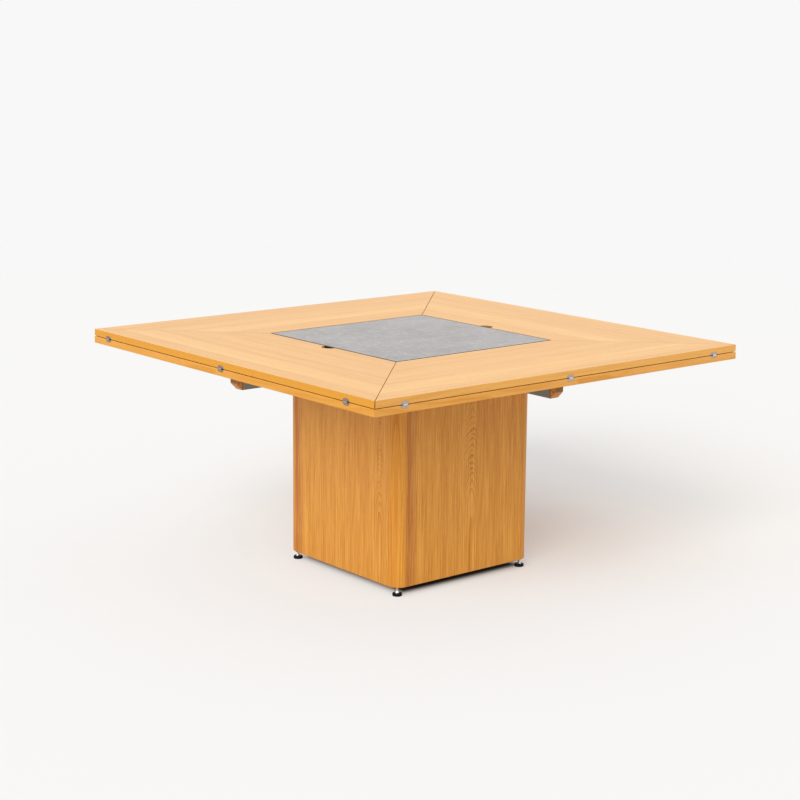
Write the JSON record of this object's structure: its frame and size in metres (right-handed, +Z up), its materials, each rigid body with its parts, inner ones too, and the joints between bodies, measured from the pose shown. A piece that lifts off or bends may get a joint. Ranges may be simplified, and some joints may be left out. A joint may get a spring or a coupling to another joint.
{
  "type": "swivel extending table",
  "caption": "Square pedestal table whose top swivels on a ball bearing and doubles in area as mitred leaves fold out round a stone slab onto pull-out lopers.",
  "frame": {"origin": "on the floor under the middle of the table", "axes": "+Z up along the swivel axis, -Y towards the front edge, +X to the right"},
  "size_m": [1.4062, 1.4062, 0.72],
  "materials": {
    "oak_leaf": "satin lacquer",
    "oak_board": "satin lacquer",
    "oak_panel": "satin lacquer",
    "oak_post": "satin lacquer",
    "oak_nose": "satin lacquer",
    "plywood": "raw",
    "hardwood": "raw",
    "stone": "honed",
    "felt": "felt",
    "hinge_steel": "satin",
    "bright_steel": "bright",
    "grey_steel": "satin",
    "zinc_steel": "zinc plated",
    "nylon": "moulded",
    "brass_insert": "machined",
    "foot_chrome": "polished",
    "foot_plastic": "moulded"
  },
  "bodies": {
    "pedestal": {"panel_front": "oak_panel", "panel_right": "oak_panel", "panel_back": "oak_panel", "panel_left": "oak_panel", "post_front_left": "oak_post", "post_front_right": "oak_post", "post_back_right": "oak_post", "post_back_left": "oak_post", "pedestal_top_board": "plywood", "pedestal_bottom_board": "plywood", "battens": "hardwood", "batten_screws": "bright_steel", "foot_inserts": "brass_insert", "turntable_lower_plate": "zinc_steel", "turntable_lower_screws": "bright_steel"},
    "ball_ring": {"ball_cage": "nylon", "bearing_balls": "bright_steel"},
    "top": {"turntable_upper_plate": "zinc_steel", "turntable_upper_screws": "bright_steel", "swivel_board": "plywood", "loper_rails": "hardwood", "loper_keepers": "zinc_steel", "rail_screws": "bright_steel", "board_screws": "bright_steel", "sub_top": "oak_board", "lower_hinge_plates": "hinge_steel", "lower_hinge_screws": "bright_steel", "hinge_pins": "bright_steel", "felt_dots": "felt"},
    "stone": {"stone_slab": "stone"},
    "leaf_front": {"leaf_front": "oak_leaf", "upper_hinge_plates_front": "hinge_steel", "upper_hinge_screws_front": "bright_steel"},
    "leaf_right": {"leaf_right": "oak_leaf", "upper_hinge_plates_right": "hinge_steel", "upper_hinge_screws_right": "bright_steel"},
    "leaf_back": {"leaf_back": "oak_leaf", "upper_hinge_plates_back": "hinge_steel", "upper_hinge_screws_back": "bright_steel"},
    "leaf_left": {"leaf_left": "oak_leaf", "upper_hinge_plates_left": "hinge_steel", "upper_hinge_screws_left": "bright_steel"},
    "loper_front": {"loper_tube_front": "grey_steel", "loper_nose_front": "oak_nose"},
    "loper_right": {"loper_tube_right": "grey_steel", "loper_nose_right": "oak_nose"},
    "loper_back": {"loper_tube_back": "grey_steel", "loper_nose_back": "oak_nose"},
    "loper_left": {"loper_tube_left": "grey_steel", "loper_nose_left": "oak_nose"},
    "foot_pad_front_left": {"foot_pad_front_left": "foot_plastic"},
    "foot_stem_front_left": {"foot_stem_front_left": "foot_chrome"},
    "foot_pad_front_right": {"foot_pad_front_right": "foot_plastic"},
    "foot_stem_front_right": {"foot_stem_front_right": "foot_chrome"},
    "foot_pad_back_right": {"foot_pad_back_right": "foot_plastic"},
    "foot_stem_back_right": {"foot_stem_back_right": "foot_chrome"},
    "foot_pad_back_left": {"foot_pad_back_left": "foot_plastic"},
    "foot_stem_back_left": {"foot_stem_back_left": "foot_chrome"}
  },
  "joints": [
    {"name": "top_swivel", "type": "hinge", "parent": "pedestal", "child": "top", "pos_m": [0, 0, 0.6051], "axis": [0, 0, 1], "continuous": true},
    {"name": "ball_ring_turn", "type": "hinge", "parent": "pedestal", "child": "ball_ring", "pos_m": [0, 0, 0.6051], "axis": [0, 0, 1], "continuous": true},
    {"name": "stone_lift", "type": "slide", "parent": "top", "child": "stone", "axis": [0, 0, 1], "range_m": [0, 0.3]},
    {"name": "leaf_front_fold", "type": "hinge", "parent": "top", "child": "leaf_front", "pos_m": [0, -0.70015, 0.6983], "axis": [1, 0, 0], "range_deg": [0, 180]},
    {"name": "leaf_right_fold", "type": "hinge", "parent": "top", "child": "leaf_right", "pos_m": [0.70015, 0, 0.6983], "axis": [0, 1, 0], "range_deg": [0, 180]},
    {"name": "leaf_back_fold", "type": "hinge", "parent": "top", "child": "leaf_back", "pos_m": [0, 0.70015, 0.6983], "axis": [-1, 0, 0], "range_deg": [0, 180]},
    {"name": "leaf_left_fold", "type": "hinge", "parent": "top", "child": "leaf_left", "pos_m": [-0.70015, 0, 0.6983], "axis": [0, -1, 0], "range_deg": [0, 180]},
    {"name": "loper_front_slide", "type": "slide", "parent": "top", "child": "loper_front", "axis": [0, -1, 0], "range_m": [0, 0.24]},
    {"name": "loper_right_slide", "type": "slide", "parent": "top", "child": "loper_right", "axis": [1, 0, 0], "range_m": [0, 0.24]},
    {"name": "loper_back_slide", "type": "slide", "parent": "top", "child": "loper_back", "axis": [0, 1, 0], "range_m": [0, 0.24]},
    {"name": "loper_left_slide", "type": "slide", "parent": "top", "child": "loper_left", "axis": [-1, 0, 0], "range_m": [0, 0.24]},
    {"name": "foot_front_left_level", "type": "slide", "parent": "pedestal", "child": "foot_pad_front_left", "axis": [0, 0, -1], "range_m": [-0.011, 0.01]},
    {"name": "foot_front_left_turn", "type": "hinge", "parent": "foot_pad_front_left", "child": "foot_stem_front_left", "pos_m": [-0.247, -0.247, 0.009], "axis": [0, 0, 1], "continuous": true},
    {"name": "foot_front_right_level", "type": "slide", "parent": "pedestal", "child": "foot_pad_front_right", "axis": [0, 0, -1], "range_m": [-0.011, 0.01]},
    {"name": "foot_front_right_turn", "type": "hinge", "parent": "foot_pad_front_right", "child": "foot_stem_front_right", "pos_m": [0.247, -0.247, 0.009], "axis": [0, 0, 1], "continuous": true},
    {"name": "foot_back_right_level", "type": "slide", "parent": "pedestal", "child": "foot_pad_back_right", "axis": [0, 0, -1], "range_m": [-0.011, 0.01]},
    {"name": "foot_back_right_turn", "type": "hinge", "parent": "foot_pad_back_right", "child": "foot_stem_back_right", "pos_m": [0.247, 0.247, 0.009], "axis": [0, 0, 1], "continuous": true},
    {"name": "foot_back_left_level", "type": "slide", "parent": "pedestal", "child": "foot_pad_back_left", "axis": [0, 0, -1], "range_m": [-0.011, 0.01]},
    {"name": "foot_back_left_turn", "type": "hinge", "parent": "foot_pad_back_left", "child": "foot_stem_back_left", "pos_m": [-0.247, 0.247, 0.009], "axis": [0, 0, 1], "continuous": true}
  ],
  "couplings": [
    {"joint": "ball_ring_turn", "follows": "top_swivel", "ratio": 0.5},
    {"joint": "foot_front_left_turn", "follows": "foot_front_left_level", "rad_per_m": -5026.5},
    {"joint": "foot_front_right_turn", "follows": "foot_front_right_level", "rad_per_m": -5026.5},
    {"joint": "foot_back_right_turn", "follows": "foot_back_right_level", "rad_per_m": -5026.5},
    {"joint": "foot_back_left_turn", "follows": "foot_back_left_level", "rad_per_m": -5026.5}
  ]
}
